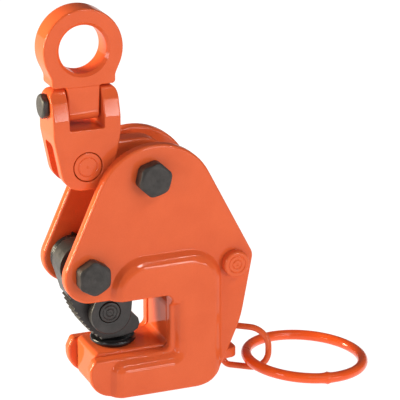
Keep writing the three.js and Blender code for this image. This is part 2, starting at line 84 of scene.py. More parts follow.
# ---- driving dimensions, millimetres ------------------------------------------------------------
HAIR = 0.3  # gap left between touching pieces
FAR = 30.0  # half length of a cutter that passes right through a piece
THROAT_X = 12.0
THROAT_TOP = 58.0
JAW_TOP = 24.5
PLATE_EDGE = 1.7  # rounding of the side plates' edges
BLOCK_EDGE = 1.5
BOLT_R = 6.0
HEX_AF = 18.0
HEAD_H = 8.0
NUT_H = 6.0
CROSS_R = 4.0
CROSS_AF = 13.0
CROSS_HEAD_H = 3.6
LEVER_T = 12.0
CAM_T = 14.0
CHEEK_T = 6.6
CAM_REACH = 52.6
COUPLING_W = 38.8
COUPLING_T = 24.7
COUPLING_PIN_R = 8.0
LINK_PIN_R = 6.0
CRANK_PIN_R = 5.0
CRANK_END_R = 9.5
CHEEK_GAP = 0.6  # between the cam and a link cheek
CHEEK_BORE_GAP = 0.5  # play of the cheeks round the upper link pin
RIVET_R = 6.0
RIVET_HEAD_R = 7.6
RIVET_HEAD_H = 5.0
EYE_R = 22.8
EYE_BORE = 13.5
EYE_T = 16.0
EYE_CHAMFER = 1.7
EYE_RISE = 31.2  # eye centre above the cross bolt
WIRE_R = 1.8
WIRE_YAW = -38.0
RING_R = 34.0
RING_WIRE = 3.0
RING_C = (96.3, -20.5, 5.35)
RING_TILT = 3.8
WELD_AT = -92.0  # angle of the weld bead round the ring

# ---- outlines: closed, counter-clockwise arrays of 2-D points -----------------------------------


def rounded(corners, step=7.5):
    """Outline through corners (x, y, radius), each corner turned into an arc."""
    points = []
    for i, (x, y, r) in enumerate(corners):
        here = Vector((x, y))
        a = (Vector(corners[i - 1][:2]) - here).normalized()
        b = (Vector(corners[(i + 1) % len(corners)][:2]) - here).normalized()
        inner = a.angle(b)
        if r <= 0 or inner > math.pi - 1e-3:
            points.append(here)
            continue
        centre = here + (a + b).normalized() * (r / math.sin(inner / 2))
        start = here + a * (r / math.tan(inner / 2)) - centre
        end = here + b * (r / math.tan(inner / 2)) - centre
        first = math.atan2(start.y, start.x)
        turn = math.remainder(math.atan2(end.y, end.x) - first, math.tau)
        steps = max(2, math.ceil(abs(turn) / math.radians(step)))
        for k in range(steps + 1):
            t = first + turn * k / steps
            points.append(centre + r * Vector((math.cos(t), math.sin(t))))
    return counter_clockwise(np.array([tuple(p) for p in points]))


def counter_clockwise(outline):
    x, y = outline.T
    area = np.sum(x * np.roll(y, -1) - np.roll(x, -1) * y)
    return outline if area > 0 else outline[::-1].copy()


def circle(x, y, r, count=72):
    t = np.linspace(0, math.tau, count, endpoint=False)
    return np.stack([x + r * np.cos(t), y + r * np.sin(t)], axis=1)


def arc(x, y, r, start, end, step=7.5):
    count = max(2, math.ceil(abs(end - start) / step))
    t = np.radians(np.linspace(start, end, count + 1))
    return np.stack([x + r * np.cos(t), y + r * np.sin(t)], axis=1)


def strap(one, two):
    """Outline round two circles (x, y, radius) and their outer tangents."""
    (x1, y1, r1), (x2, y2, r2) = one, two
    way = math.degrees(math.atan2(y2 - y1, x2 - x1))
    lean = math.degrees(math.acos((r1 - r2) / math.dist((x1, y1), (x2, y2))))
    return np.concatenate([
        arc(x1, y1, r1, way + lean, way + 360 - lean),
        arc(x2, y2, r2, way - lean, way + lean),
    ])


def inset(outline, d):
    """The outline moved inwards by d, or outwards where d is negative."""
    along = np.roll(outline, -1, axis=0) - outline
    along /= np.maximum(np.linalg.norm(along, axis=1, keepdims=True), 1e-9)
    left = np.stack([-along[:, 1], along[:, 0]], axis=1)
    both = left + np.roll(left, 1, axis=0)
    both /= np.maximum((both**2).sum(axis=1, keepdims=True) / 2, 0.2)
    return outline + both * d


def depth(points, outline):
    """How far each point lies inside an outline; negative outside it."""
    a, b = outline, np.roll(outline, -1, axis=0)
    ab = b - a
    ap = points[:, None, :] - a[None]
    t = np.clip((ap * ab).sum(axis=2) / np.maximum((ab**2).sum(axis=1), 1e-12), 0, 1)
    gap = np.linalg.norm(ap - t[..., None] * ab, axis=2).min(axis=1)
    y = points[:, 1:2]
    crosses = (a[:, 1] > y) != (b[:, 1] > y)
    rise = np.where(ab[:, 1] == 0, 1e-12, ab[:, 1])
    at = a[:, 0] + (y - a[:, 1]) * ab[:, 0] / rise
    inside = (crosses & (points[:, 0:1] < at)).sum(axis=1) % 2 == 1
    return np.where(inside, gap, -gap)


# ---- relief: a plate with rounded edges, bores and a raised or tapered face ----------------------
EDGE_STEPS = 4


def round_levels(r):
    return [r * (1 - math.cos(math.pi / 2 * k / EDGE_STEPS)) for k in range(EDGE_STEPS + 1)]


def round_drop(d, r):
    d = np.clip(d, 0, r)
    return r - np.sqrt(r * r - (r - d) ** 2)


def relief(outlines, w0, w1, edge, holes=(), lift=None, back_lift=None, lines=()):
    """Closed plate: the union of outlines less the holes, from w0 to w1 along the third axis.
    holes are (outline, rounding). lift and back_lift give how far the w0 and w1 faces stand out
    at each point, and lines are extra (points, closed) contours for the mesh to follow."""
    verts, edges = [], []

    def contour(points, closed=True):
        first = len(verts)
        verts.extend(Vector(p) for p in points)
        last = len(verts) - 1
        edges.extend((k, k + 1) for k in range(first, last))
        if closed:
            edges.append((last, first))

    for outline in outlines:
        for d in round_levels(edge):
            contour(inset(outline, d))
    for outline, r in holes:
        for d in round_levels(r):
            contour(inset(outline, -d))
    for points, closed in lines:
        contour(points, closed)
    flat, _, tris, *_ = delaunay_2d_cdt(verts, edges, [], 0, 1e-4)
    flat = np.array([tuple(v) for v in flat])
    tris = np.array(tris)

    def within(points):
        d = np.max([depth(points, o) for o in outlines], axis=0)
        for outline, _ in holes:
            d = np.minimum(d, -depth(points, outline))
        return d

    tris = tris[within(flat[tris].mean(axis=1)) > 0]
    used, tris = np.unique(tris, return_inverse=True)
    flat, tris = flat[used], tris.reshape(-1, 3)
    drop = round_drop(np.max([depth(flat, o) for o in outlines], axis=0), edge)
    for outline, r in holes:
        drop = np.maximum(drop, round_drop(-depth(flat, outline), r))
    front = w0 + drop - (lift(flat) if lift else 0)
    back = w1 - drop + (back_lift(flat) if back_lift else 0)
    n = len(flat)
    rim = {}
    for a, b, c in tris:
        for e in ((a, b), (b, c), (c, a)):
            if e[::-1] in rim:
                del rim[e[::-1]]
            else:
                rim[e] = True
    faces = [tuple(t) for t in tris] + [tuple(t[::-1] + n) for t in tris]
    faces += [(b, a, a + n, b + n) for a, b in rim]
    points = np.concatenate([np.column_stack([flat, front]), np.column_stack([flat, back])])
    return points, faces


def in_xz(shape):
    """A relief whose outline lies in X-Z and whose third axis is Y."""
    points, faces = shape
    return points[:, [0, 2, 1]], faces


# ---- turned, hexagonal and swept shapes ----------------------------------------------------------
ROUND = 72  # points round a turned shape, a multiple of 12


def spin(rings, closed=False, count=ROUND):
    """Rings (radius, height) round an upright axis. A radius of 0 is a point on the axis."""
    points, rows = [], []
    t = np.linspace(0, math.tau, count, endpoint=False)
    for r, h in rings:
        first = len(points)
        if np.isscalar(r) and r < 1e-6:
            points.append((0.0, 0.0, float(h)))
            rows.append([first] * count)
            continue
        r, h = np.broadcast_to(r, count), np.broadcast_to(h, count)
        points.extend(zip(r * np.cos(t), r * np.sin(t), h))
        rows.append(list(range(first, first + count)))
    faces = []
    for i in range(len(rows) if closed else len(rows) - 1):
        low, high = rows[i], rows[(i + 1) % len(rows)]
        for k in range(count):
            quad = (low[k], low[(k + 1) % count], high[(k + 1) % count], high[k])
            face = tuple(dict.fromkeys(quad))
            if len(face) > 2:
                faces.append(face)
    return np.array(points), faces


def lathe(corners, step=18):
    """Turned shape from profile corners (radius, height, rounding), open at the axis if they touch it."""
    profile = rounded(corners, step)
    on_axis = profile[:, 0] < 1e-6
    if not on_axis.any():
        return spin([tuple(p) for p in profile], closed=True)
    pair = next(i for i in range(len(profile)) if on_axis[i] and on_axis[i - 1])
    return spin([tuple(p) for p in np.roll(profile, -pair, axis=0)])


def along_y(shape, x, z, flip=1):
    """A turned shape laid along Y through (x, z); flip -1 points its top to the front."""
    points, faces = shape
    return np.column_stack([points[:, 0] + x, points[:, 2] * flip, points[:, 1] + z]), faces


def along_x(shape, y, z, flip=1):
    points, faces = shape
    return np.column_stack([points[:, 2] * flip, points[:, 0] + y, points[:, 1] + z]), faces


def along_z(shape, x, y):
    points, faces = shape
    return points + np.array([x, y, 0.0]), faces


def turned_face(r, h, grooves, side=1, edge=0.8):
    """Profile corners across a turned end face, from its rim in to the centre mark."""
    corners = [(r, h, edge)]
    for g in grooves:
        corners += [(g + 0.45, h, 0.12), (g, h - 0.45 * side, 0.12), (g - 0.45, h, 0.12)]
    return corners + [(0.9, h, 0.3), (0.0, h - 0.6 * side, 0.0)]


def hex_radius(af, count=ROUND, twist=0.0):
    """Radius of a hexagon with slightly blunt corners, at each angle."""
    t = np.linspace(0, 360, count, endpoint=False) - twist
    fold = np.radians((t + 30) % 60 - 30)
    return np.minimum(af / 2 / np.cos(fold), af / math.sqrt(3) * 0.94)


def hex_rings(af, seat, top, twist):
    """Rings of a bolt head from its top face down to its seat, with the turned chamfer."""
    across = hex_radius(af, twist=twist)
    r0, slope = 0.44 * af, math.tan(math.radians(30))
    under = np.maximum(across - r0, 0) * slope
    return [
        (r0 - 1.2, top), (r0 - 0.4, top - 0.03), (r0, top - 0.14),
        (across - 0.5, top - 0.14 - np.maximum(under - 0.5 * slope, 0)),
        (across - 0.12, top - 0.2 - under), (across, top - 0.5 - under),
        (across, seat + 0.5), (across - 0.15, seat + 0.15), (across - 0.5, seat),
    ]


def thread_rings(r, start, end, pitch=1.5, deep=0.55):
    """V grooves along a bolt end, from start towards end."""
    way = 1 if end > start else -1
    rings = []
    for k in range(int(abs(end - start) / pitch)):
        at = start + way * k * pitch
        rings += [(r, at), (r, at + way * 0.2), (r - deep, at + way * pitch * 0.55)]
    return rings + [(r, end - way * 1.3), (r - 0.9, end - way * 0.1), (r - 1.3, end), (0.0, end)]


def sweep(path, side, up, radius, closed=True, sides=18):
    """Wire of the given radii along a path, with its section drawn in the side and up directions."""
    t = np.linspace(0, math.tau, sides, endpoint=False)
    ring = np.cos(t)[None, :, None] * side[:, None] + np.sin(t)[None, :, None] * up[:, None]
    points = (path[:, None] + ring * np.asarray(radius).reshape(-1, 1, 1)).reshape(-1, 3)
    n = len(path)
    faces = []
    for i in range(n if closed else n - 1):
        j = (i + 1) % n
        for k in range(sides):
            m = (k + 1) % sides
            faces.append((i * sides + k, i * sides + m, j * sides + m, j * sides + k))
    if not closed:
        faces += [tuple(range(sides)), tuple(range((n - 1) * sides, n * sides))]
    return points, faces


# ---- materials -----------------------------------------------------------------------------------


def finish(name, dark, light, patch, rough, grain, grain_height, **fixed):
    """Procedural finish. Colour runs from dark to light over patches of about patch mm with a finer
    speckle, roughness runs over rough, and a bump of grain mm stands grain_height mm high."""
    material = bpy.data.materials.new(name)
    material.use_nodes = True
    nodes, links = material.node_tree.nodes, material.node_tree.links
    shader = nodes["Principled BSDF"]
    for socket, value in fixed.items():
        shader.inputs[socket.replace("_", " ")].default_value = value
    place = nodes.new("ShaderNodeTexCoord")

    def noise(size, detail, roughness=0.55):
        node = nodes.new("ShaderNodeTexNoise")
        node.inputs["Scale"].default_value = 1 / (size * MM)
        node.inputs["Detail"].default_value = detail
        node.inputs["Roughness"].default_value = roughness
        links.new(place.outputs["Object"], node.inputs["Vector"])
        return node.outputs["Fac"]

    def spread(value, low, high, to_low=0.0, to_high=1.0):
        node = nodes.new("ShaderNodeMapRange")
        ends = {"From Min": low, "From Max": high, "To Min": to_low, "To Max": to_high}
        for socket, number in ends.items():
            node.inputs[socket].default_value = number
        links.new(value, node.inputs["Value"])
        return node.outputs["Result"]

    broad = spread(noise(patch, 3), 0.3, 0.7)
    speckle = spread(noise(grain * 0.7, 2), 0.25, 0.75)
    blend = nodes.new("ShaderNodeMix")
    blend.inputs["Factor"].default_value = 0.35
    links.new(broad, blend.inputs["A"])
    links.new(speckle, blend.inputs["B"])
    colour = nodes.new("ShaderNodeValToRGB")
    colour.color_ramp.elements[0].color = (*dark, 1)
    colour.color_ramp.elements[1].color = (*light, 1)
    links.new(blend.outputs["Result"], colour.inputs["Fac"])
    links.new(colour.outputs["Color"], shader.inputs["Base Color"])
    links.new(spread(noise(patch * 0.4, 3), 0.3, 0.7, *rough), shader.inputs["Roughness"])
    bump = nodes.new("ShaderNodeBump")
    bump.inputs["Distance"].default_value = grain_height * MM
    bump.inputs["Strength"].default_value = 1.0
    links.new(noise(grain, 3), bump.inputs["Height"])
    links.new(bump.outputs["Normal"], shader.inputs["Normal"])
    return material


PAINT = finish("orange_enamel", (0.67, 0.100, 0.027), (0.75, 0.125, 0.037), 22, (0.30, 0.40), 1.1, 0.07,
               Specular_IOR_Level=0.0, Coat_Weight=0.5, Coat_Roughness=0.07)
RING_PAINT = finish("ring_enamel", (0.84, 0.085, 0.010), (0.92, 0.115, 0.018), 14, (0.24, 0.36), 0.9, 0.04,
                    Specular_IOR_Level=0.1, Coat_Weight=0.6, Coat_Roughness=0.08)
BLACK = finish("black_oxide", (0.018, 0.015, 0.013), (0.055, 0.046, 0.041), 5, (0.40, 0.55), 0.7, 0.05,
               Metallic=0.1, Specular_IOR_Level=0.4)
CAM_STEEL = finish("dark_cam_steel", (0.016, 0.014, 0.013), (0.050, 0.043, 0.040), 9, (0.30, 0.48),
                   0.9, 0.06, Metallic=0.15)
PAD_STEEL = finish("hardened_pad", (0.008, 0.008, 0.009), (0.020, 0.019, 0.020), 8, (0.18, 0.28), 1.4, 0.015,
                   Metallic=0.4)
BRONZE = finish("bronze", (0.34, 0.19, 0.06), (0.50, 0.31, 0.12), 6, (0.28, 0.45), 0.8, 0.03, Metallic=1.0)
SPRING = finish("spring_steel", (0.03, 0.03, 0.03), (0.08, 0.08, 0.08), 5, (0.22, 0.36), 0.6, 0.02,
                Metallic=0.8)

LOOKS = {
    "orange_paint": PAINT, "ring_paint": RING_PAINT, "black_oxide": BLACK, "cam_steel": CAM_STEEL,
    "pad_steel": PAD_STEEL, "bronze": BRONZE, "spring_steel": SPRING,
}

# ---- pieces --------------------------------------------------------------------------------------
WELD = 1e-7  # points closer than this become one, metres


def raw_object(name, shape):
    """A closed mesh object in metres with its faces pointing out."""
    points, faces = shape
    mesh = bpy.data.meshes.new(name)
    mesh.from_pydata((points * MM).tolist(), [], faces)
    work = bmesh.new()
    work.from_mesh(mesh)
    bmesh.ops.remove_doubles(work, verts=work.verts, dist=WELD)
    bmesh.ops.dissolve_degenerate(work, edges=work.edges, dist=WELD)
    bmesh.ops.recalc_face_normals(work, faces=work.faces)
    work.to_mesh(mesh)
    work.free()
    obj = bpy.data.objects.new(name, mesh)
    bpy.context.scene.collection.objects.link(obj)
    return obj


def cut_away(obj, cutters):
    """Takes the cutters' shapes out of the object."""
    for shape in cutters:
        tool = raw_object("cutter", shape)
        cut = obj.modifiers.new("cut", "BOOLEAN")
        cut.operation, cut.solver, cut.object = "DIFFERENCE", "EXACT", tool
        ready = obj.evaluated_get(bpy.context.evaluated_depsgraph_get())
        mesh = bpy.data.meshes.new_from_object(ready)
        obj.modifiers.clear()
        obj.data = mesh
        bpy.data.objects.remove(tool)


def piece(node, body, slot, shape, cutters=(), crease=38):
    """The finished piece that stands for one CAD node."""
    obj = raw_object("fine_" + node, shape)
    cut_away(obj, cutters)
    obj.data.materials.clear()
    obj.data.materials.append(LOOKS[slot])
    obj.data.shade_smooth()
    obj.data.set_sharp_from_angle(angle=math.radians(crease))
    normals = obj.modifiers.new("normals", "WEIGHTED_NORMAL")
    normals.keep_sharp = True
    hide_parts(node)
    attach(obj, body)
    return obj


def box_shape(lo, hi, edge):
    """Plain block between two corners, with its X-Z corners rounded."""
    (x0, y0, z0), (x1, y1, z1) = lo, hi
    outline = rounded([(x0, z0, edge), (x1, z0, edge), (x1, z1, edge), (x0, z1, edge)])
    n = len(outline)
    ends = [np.column_stack([outline[:, 0], np.full(n, y), outline[:, 1]]) for y in (y0, y1)]
    sides = [(k, (k + 1) % n, (k + 1) % n + n, k + n) for k in range(n)]
    return np.concatenate(ends), sides + [tuple(range(n)), tuple(range(n, 2 * n))]


def rod(r, start, end):
    return spin([(0.0, start), (r, start), (r, end), (0.0, end)])


def mirrored(shape):
    points, faces = shape
    return points * np.array([1, -1, 1]), faces


# ---- side plates with the raised C rib -----------------------------------------------------------
PLATE_OUTLINE = rounded([
    (-35.8, 0, 14), (40, 0, 22), (55.5, 36, 60), (62.8, 74.5, 8), (1.9, 191.5, 35.5),
    (-58.2, THROAT_TOP, 15.5), (THROAT_X, THROAT_TOP, 4), (THROAT_X, 23, 4), (-33.2, 23, 2.5), (-36, 17, 4),
], 5)
RIB_THROAT_X = THROAT_X + 2.4
RIB_OUTLINE = rounded([
    (-23.5, 50, 0), (-23.5, 82.1, 21), (43, 82.1, 20.5), (43, -9, 20), (-24, -9, 0),
    (-24, 21.7, 8), (RIB_THROAT_X, 21.7, 3), (RIB_THROAT_X, 50, 0),
], 6)
RIB_H = 5.0
RIB_FOOT = 0.9  # width of the small fillet at the foot of the slope
RIB_RUN = 6.0  # run of the slope
# Distances inside the rib's outline at which the mesh follows it.
RIB_LEVELS = (-0.5, -0.2, 0, 0.2, 0.5, 1.2, 2.1, 2.52, 3.2, 3.9, 4.5, 4.92, 5.5, 6.0, 6.2)
# Rise over the run, both as fractions: steep at the foot and easier in two steps towards the top.
RIB_AT = (0, 0.35, 0.42, 0.75, 0.82, 1)
RIB_RISE = (0, 0.544, 0.627, 0.887, 0.929, 1)


def rib_lift(points):
    """Height of the rib above the plate at each point."""
    d = depth(points, RIB_OUTLINE)
    soft = np.where(d > RIB_FOOT / 2, d, np.maximum(d + RIB_FOOT / 2, 0) ** 2 / (2 * RIB_FOOT))
    return RIB_H * np.interp(soft / RIB_RUN, RIB_AT, RIB_RISE)


def side_plate():
    lines = [(inset(RIB_OUTLINE, d), True) for d in RIB_LEVELS]
    holes = [
        (circle(*LEVER_AT, BOLT_R + HAIR), 0.4), (circle(*CAM_AT, BOLT_R + HAIR), 0.4),
        (circle(*RIVET_AT, RIVET_R + HAIR), 0.4),
    ]
    return in_xz(relief([PLATE_OUTLINE], -OUTER, -INNER, PLATE_EDGE, holes, rib_lift, lines=lines))


plate = side_plate()
piece("front_side_plate", "frame", "orange_paint", plate)
piece("rear_side_plate", "frame", "orange_paint", mirrored(plate))

# ---- jaw block -----------------------------------------------------------------------------------
SWEEP_R = CAM_REACH + 1.9  # the cam nose's sweep and its clearance
BLOCK_TOP = 70.0
BLOCK_BACK = 43.5
BLOCK_FRONT = -31.0


def relief_x(z):
    """Face of the web's hollow, which clears the swing of the cam nose."""
    return CAM_AT[0] + math.sqrt(SWEEP_R**2 - (z - CAM_AT[1]) ** 2)


def jaw_block():
    hollow = [(relief_x(z), z, 0) for z in np.linspace(67.5, 47.5, 9)]
    outline = rounded([
        (BLOCK_FRONT, 0, 5), (BLOCK_BACK, 0, 17), (BLOCK_BACK, 60, 5), (36, BLOCK_TOP, 4),
        (relief_x(BLOCK_TOP), BLOCK_TOP, 1.5), *hollow, (THROAT_X + 0.5, 46.2, 0),
        (THROAT_X + 0.5, JAW_TOP, 3), (BLOCK_FRONT, JAW_TOP, 3),
    ])
    return in_xz(relief([outline], -INNER + HAIR, INNER - HAIR, BLOCK_EDGE))


PAD_BORE_R, SCREW_BORE_R, SCREW_HEAD_BORE_R = 5.3, 3.3, 7.2
piece("jaw_block", "frame", "orange_paint", jaw_block(), [
    along_z(rod(PAD_BORE_R, 9, JAW_TOP + 2), *PAD_AT),
    along_z(rod(SCREW_BORE_R, 4, 10), *PAD_AT),
    along_z(rod(SCREW_HEAD_BORE_R, -2, 6), *PAD_AT),
])

# ---- spacer rivet --------------------------------------------------------------------------------
SHOULDER_R = 9.0


def rivet():
    foot, top = OUTER + HAIR, OUTER + RIVET_HEAD_H
    half = [*turned_face(RIVET_HEAD_R, top, (5.0, 2.6), edge=1.3)[::-1], (RIVET_HEAD_R, foot, 0.2),
            (RIVET_R, foot, 0), (RIVET_R, INNER - HAIR, 0), (SHOULDER_R, INNER - HAIR, 0.6)]
    other = [(r, -h, c) for r, h, c in half[::-1]]
    return along_y(lathe(half + other), *RIVET_AT)


piece("spacer_rivet", "frame", "orange_paint", rivet())

# ---- hexagon bolts, nuts and spacer tubes ---------------------------------------------------------
SEAT = OUTER + HAIR
NUT_TWIST = 9  # how far a nut is turned against its bolt head, degrees
BOLT_OUT = 7  # how far a bolt end passes the seat of its nut
TOP_SPACER_R, CAM_SPACER_R = 11, 9.5


def head_bolt(twist):
    top = SEAT + HEAD_H
    marks = [(0.0, top - 0.5), (0.8, top - 0.12), (1.3, top), (3.4, top), (3.7, top - 0.12), (4.0, top)]
    shank = [(BOLT_R, SEAT), (BOLT_R, -OUTER + 2)]
    return spin(marks + hex_rings(HEX_AF, SEAT, top, twist) + shank
                + thread_rings(BOLT_R, -OUTER - 1, -(SEAT + BOLT_OUT)))


def hex_nut(twist):
    r = BOLT_R + HAIR
    rings = hex_rings(HEX_AF, SEAT, SEAT + NUT_H, twist)
    return spin([(r, SEAT + 0.5), (r, SEAT + NUT_H - 0.7), (r + 0.9, SEAT + NUT_H)] + rings
                + [(r + 0.6, SEAT)], closed=True)


for name, at, twist in (("top", LEVER_AT, 14), ("cam", CAM_AT, 0)):
    piece(f"{name}_bolt", "frame", "black_oxide", along_y(head_bolt(-twist), *at, flip=-1), crease=50)
    piece(f"{name}_nut", "frame", "black_oxide", along_y(hex_nut(-(twist + NUT_TWIST)), *at), crease=50)


def sleeve(inner, outer, start, end, edge=0.5):
    return lathe([(inner, start, edge), (outer, start, edge), (outer, end, edge), (inner, end, edge)])


for name, at, start, r in (
    ("top", LEVER_AT, LEVER_T / 2, TOP_SPACER_R), ("cam", CAM_AT, CAM_T / 2, CAM_SPACER_R),
):
    tube = along_y(sleeve(BOLT_R + HAIR, r, start + HAIR, INNER - HAIR), *at)
    piece(f"{name}_spacer_rear", "frame", "black_oxide", tube)
    piece(f"{name}_spacer_front", "frame", "black_oxide", mirrored(tube))

# ---- cam return spring ---------------------------------------------------------------------------
COIL_R, COIL_WIRE, COIL_TURNS, COIL_FROM = 11.2, 0.85, 3.25, -0.6
LEG = 6.0  # straight end of the wire


def cam_spring():
    y0, y1 = CAM_T / 2 + 1.5, INNER - 1.6
    t = np.linspace(0, 1, 160)
    a = math.tau * COIL_TURNS * t + COIL_FROM
    side = np.column_stack([np.cos(a), np.zeros_like(a), np.sin(a)])
    path = side * COIL_R + np.column_stack([t * 0, y0 + (y1 - y0) * t, t * 0])
    tangent = np.column_stack([-np.sin(a), np.zeros_like(a), np.cos(a)])
    run = np.linspace(LEG, LEG / 4, 4)[:, None]
    path = np.concatenate([path[:1] - tangent[:1] * run, path, path[-1:] + tangent[-1:] * run[::-1]])
    side = np.concatenate([np.repeat(side[:1], 4, 0), side, np.repeat(side[-1:], 4, 0)])
    up = np.tile([0.0, 1.0, 0.0], (len(path), 1))
    path += np.array([CAM_AT[0], 0, CAM_AT[1]])
    return sweep(path, side, up, np.full(len(path), COIL_WIRE), closed=False, sides=12)


piece("cam_spring", "frame", "spring_steel", cam_spring(), crease=60)

# ---- ring lug ------------------------------------------------------------------------------------
LUG_LO, LUG_HI = corners_of("ring_lug")
LUG_EDGE = 0.9
LUG_BORE_R = WIRE_R + 0.7
LUG_OUTLINE = rounded([(43.8, -13.5, 0), (57.5, -12.5, 4.5), (57.5, -0.5, 4.5), (43.8, 0.5, 0)])
piece("ring_lug", "frame", "orange_paint",
      relief([LUG_OUTLINE], LUG_LO.z, LUG_HI.z, LUG_EDGE, [(circle(*LUG_AT, LUG_BORE_R, 36), 0.5)]))

# ---- swivel pad and its screw --------------------------------------------------------------------
PAD_LO, PAD_HI = corners_of("swivel_pad")
PAD_R = (PAD_HI.x - PAD_LO.x) / 2
SCREW_LO, SCREW_HI = corners_of("pad_screw")
SOCKET_AF = 6.0
PAD_TOP = PAD_HI.z
piece("swivel_pad", "pad", "pad_steel", along_z(lathe([
    (2.9, PAD_LO.z, 0.2), (5, PAD_LO.z, 0.4), (5, JAW_TOP + HAIR, 0.2), (11.2, JAW_TOP + HAIR, 0.5),
    (12.2, JAW_TOP + 1.6, 0.5), (PAD_R, JAW_TOP + 2.0, 0.5), (PAD_R, PAD_TOP, 1.2), (10.2, PAD_TOP, 0.6),
    (8.6, PAD_TOP - 0.6, 0.5), (0, PAD_TOP - 0.6, 0), (0, JAW_TOP - 1, 0), (2.9, JAW_TOP - 1, 0),
]), *PAD_AT))


def socket_screw():
    hexed = hex_radius(SOCKET_AF)
    low, high = SCREW_LO.z, SCREW_HI.z
    return spin([
        (0.0, low + 2.6), (hexed * 0.6, low + 2.5), (hexed, low + 2.3), (hexed, low + 0.4),
        (hexed + 0.3, low), (5.9, low), (6.4, low + 0.2), (6.6, low + 0.7), (6.6, low + 3.9),
        (6.3, low + 4.2), (2.6, low + 4.2), (2.6, high - 0.4), (2.2, high), (0.0, high),
    ])


piece("pad_screw", "pad", "black_oxide", along_z(socket_screw(), *PAD_AT))

# ---- lever ---------------------------------------------------------------------------------------
LEVER_HUB_R, LEVER_END_R = 17.5, 11.0
BUSH_R = 8.6
LEVER_EDGE = 1.4
UPPER_PIN_HALF, LOWER_PIN_HALF = 14.5, 14.8  # half lengths


def lever():
    hub = (*LEVER_AT, LEVER_HUB_R)
    outlines = [strap(hub, (*COUPLING_AT, LEVER_END_R)), strap(hub, (*UPPER_PIN_AT, CRANK_END_R))]
    holes = [
        (circle(*LEVER_AT, BUSH_R + HAIR), 0.5), (circle(*COUPLING_AT, COUPLING_PIN_R + HAIR), 0.5),
        (circle(*UPPER_PIN_AT, CRANK_PIN_R + HAIR), 0.5),
    ]
    return in_xz(relief(outlines, -LEVER_T / 2, LEVER_T / 2, LEVER_EDGE, holes))


def pin(r, half, at, grooves=(), edge=0.5):
    face = turned_face(r, half, grooves, edge=edge)[::-1]
    return along_y(lathe(face + [(x, -h, c) for x, h, c in face[::-1]]), *at)


piece("lever", "lever", "orange_paint", lever())
piece("lever_bush", "lever", "bronze",
      along_y(sleeve(BOLT_R + HAIR, BUSH_R, -LEVER_T / 2, LEVER_T / 2), *LEVER_AT))
piece("upper_link_pin", "lever", "black_oxide", pin(CRANK_PIN_R, UPPER_PIN_HALF, UPPER_PIN_AT))

# ---- cam -----------------------------------------------------------------------------------------
TEETH, TOOTH_DEEP = 11, 1.3
FLANK_C, FLANK_R, FLANK_FROM, FLANK_TO = (40.5, -5.3), 50.4, 193.0, 233.5
CAM_HUB_R, CAM_BUSH_R = 13.0, 8.4
CAM_NOSE = [(15.5, -46.1), (23.5, -45.7), (29.5, -44.5), (32.7, -42.3), (33.9, -39.5), (33.1, -35.9)]
CAM_BACK = [(29, -31.5), (27, -24.5), (22.5, -12.5)]


def cam():
    def flank(k, r):
        t = math.radians(FLANK_FROM + (FLANK_TO - FLANK_FROM) * k / TEETH)
        return FLANK_C[0] + r * math.cos(t), FLANK_C[1] + r * math.sin(t), 0.15

    teeth = []
    for k in range(TEETH):
        teeth += [flank(k, FLANK_R), flank(k + 0.82, FLANK_R - TOOTH_DEEP)]
    hub = [(*p, 0) for p in arc(0, 0, CAM_HUB_R, 0, 195)]
    nose = [(*p, 1.5) for p in CAM_NOSE + CAM_BACK]
    outline = rounded([*hub, *teeth, flank(TEETH, FLANK_R), *nose], 15) + np.array(CAM_AT)
    holes = [
        (circle(*CAM_AT, CAM_BUSH_R + HAIR), 0.5), (circle(*LINK_AT, LINK_PIN_R + HAIR), 0.4),
    ]
    return in_xz(relief([outline], -CAM_T / 2, CAM_T / 2, 0.5, holes))


piece("cam", "cam", "cam_steel", cam())
piece("cam_bush", "cam", "bronze",
      along_y(sleeve(BOLT_R + HAIR, CAM_BUSH_R, -CAM_T / 2, CAM_T / 2), *CAM_AT))
piece("lower_link_pin", "cam", "cam_steel", pin(LINK_PIN_R, LOWER_PIN_HALF, LINK_AT, (4.2, 2.2), 0.7))

# ---- link cheeks ---------------------------------------------------------------------------------
FOOT = (1.0, -1.5, 12.0)  # x and z from the lower pin, and radius
KNEE = (4.8, 13.0, 9.5)
CHEEK_EDGE = 1.0


def cheek():
    knee = (LINK_AT[0] + KNEE[0], LINK_AT[1] + KNEE[1], KNEE[2])
    foot = (LINK_AT[0] + FOOT[0], LINK_AT[1] + FOOT[1], FOOT[2])
    outlines = [strap(foot, knee), strap(knee, (*UPPER_PIN_AT, CRANK_END_R))]
    holes = [
        (circle(*LINK_AT, LINK_PIN_R + HAIR), 0.5),
        (circle(*UPPER_PIN_AT, CRANK_PIN_R + CHEEK_BORE_GAP), 0.5),
    ]
    start = CAM_T / 2 + CHEEK_GAP
    return in_xz(relief(outlines, start, start + CHEEK_T, CHEEK_EDGE, holes))


piece("rear_link", "link", "cam_steel", cheek())
piece("front_link", "link", "cam_steel", mirrored(cheek()))

# ---- coupling ------------------------------------------------------------------------------------
RISE = EYE_AT[1] - COUPLING_AT[1]  # cross bolt above the coupling pin
EAR_TOP = RISE + 9.6
CREASE = RISE - 6.3  # where the ears start to thin
SHOULDER = RISE + 3.0
EAR_CROWN = RISE + 7.4  # where the steeper upper facet rounds over
EAR_SHOULDER_T, EAR_CROWN_T, EAR_TOP_T = 9.6, 6.4, 2.6  # half thicknesses
SLOT_FLOOR = 21.3
PIN_GAP = 0.45  # gap round the coupling pin
SLOT_HALF = 10.0
LEVER_SLOT_HALF, LEVER_SLOT_TOP, LEVER_SLOT_ROUND = 6.4, 13.4, 3


